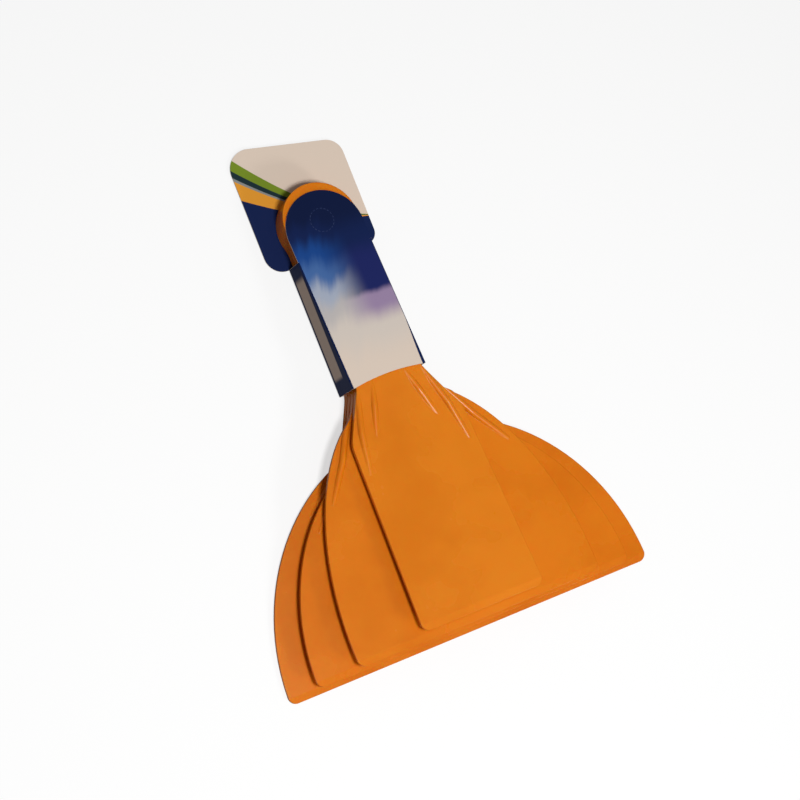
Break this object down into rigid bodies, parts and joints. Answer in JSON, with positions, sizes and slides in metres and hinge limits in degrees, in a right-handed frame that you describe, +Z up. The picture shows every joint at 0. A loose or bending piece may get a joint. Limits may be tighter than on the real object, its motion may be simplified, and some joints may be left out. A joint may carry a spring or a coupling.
{
  "type": "pan scraper set",
  "caption": "Nested flat plastic scrapers of graded blade widths, fanned in a folded card sleeve with a round tongue and a hanging header.",
  "frame": {"origin": "middle of the set's box in X and Y, on the surface that the set lies on", "axes": "+X along the working edges, +Y from the working edges to the header, +Z up out of the card's front"},
  "size_m": [0.1498, 0.194, 0.0185],
  "materials": {
    "orange_plastic": "moulded plastic with a satin sheen, thin flexible blades",
    "printed_card": "thin solid carton board, printed from navy to pale on the outside with a light varnish, plain inside"
  },
  "bodies": {
    "sleeve": {"card_sleeve": "printed_card"},
    "widest_tool": {"widest_scraper": "orange_plastic"},
    "broad_tool": {"broad_scraper": "orange_plastic"},
    "medium_tool": {"medium_scraper": "orange_plastic"},
    "narrow_tool": {"narrow_scraper": "orange_plastic"}
  },
  "joints": [
    {"name": "widest_slide", "type": "slide", "parent": "sleeve", "child": "widest_tool", "axis": [0, -1, -0.0052], "range_m": [0, 0.076]},
    {"name": "broad_slide", "type": "slide", "parent": "sleeve", "child": "broad_tool", "axis": [0, -0.9999, 0.0165], "range_m": [0, 0.076]},
    {"name": "medium_slide", "type": "slide", "parent": "sleeve", "child": "medium_tool", "axis": [0, -0.9993, 0.0382], "range_m": [0, 0.076]},
    {"name": "narrow_slide", "type": "slide", "parent": "sleeve", "child": "narrow_tool", "axis": [0, -0.9982, 0.0599], "range_m": [0, 0.076]}
  ]
}
